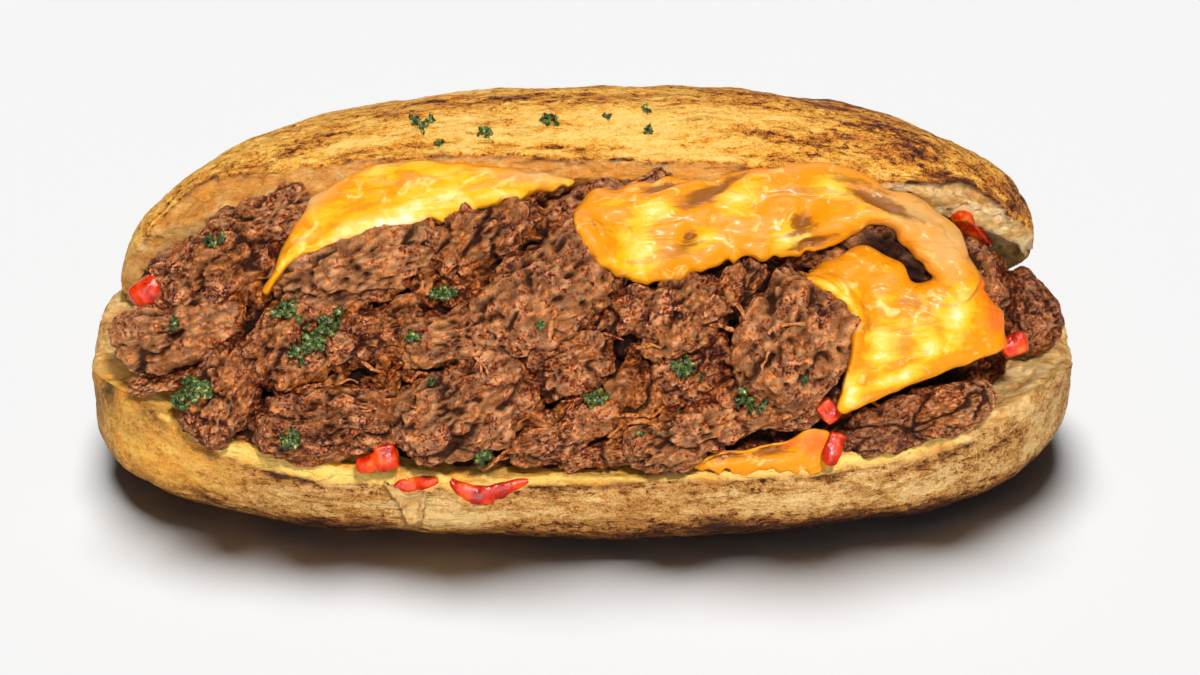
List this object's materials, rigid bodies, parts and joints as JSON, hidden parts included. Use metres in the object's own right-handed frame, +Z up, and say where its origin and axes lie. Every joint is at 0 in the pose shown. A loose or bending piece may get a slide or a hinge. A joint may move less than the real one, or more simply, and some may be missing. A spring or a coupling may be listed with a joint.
{
  "type": "submarine sandwich",
  "caption": "Long crusty roll split along its front and hinged at its back, heaped with browned beef, melted cheese, diced red pepper and parsley.",
  "frame": {"origin": "on the flat underside, below the middle of the roll", "axes": "+X along the roll, to the right as seen from the open side; -Y out of the mouth, towards the viewer; +Z up"},
  "size_m": [0.2064, 0.0961, 0.0796],
  "materials": {
    "crust": "matt",
    "beef": "moist",
    "cheese": "gloss",
    "pepper": "gloss"
  },
  "bodies": {
    "root": {"roll": "crust", "steak_heap": "beef", "steak_strip": "beef", "steak_end": "beef", "cheese_left": "cheese", "cheese_right": "cheese", "cheese_front": "cheese", "pepper_1": "pepper", "pepper_2": "pepper", "pepper_3": "pepper", "pepper_4": "pepper", "pepper_5": "pepper", "pepper_6": "pepper", "pepper_7": "pepper", "pepper_8": "pepper"}
  },
  "joints": []
}
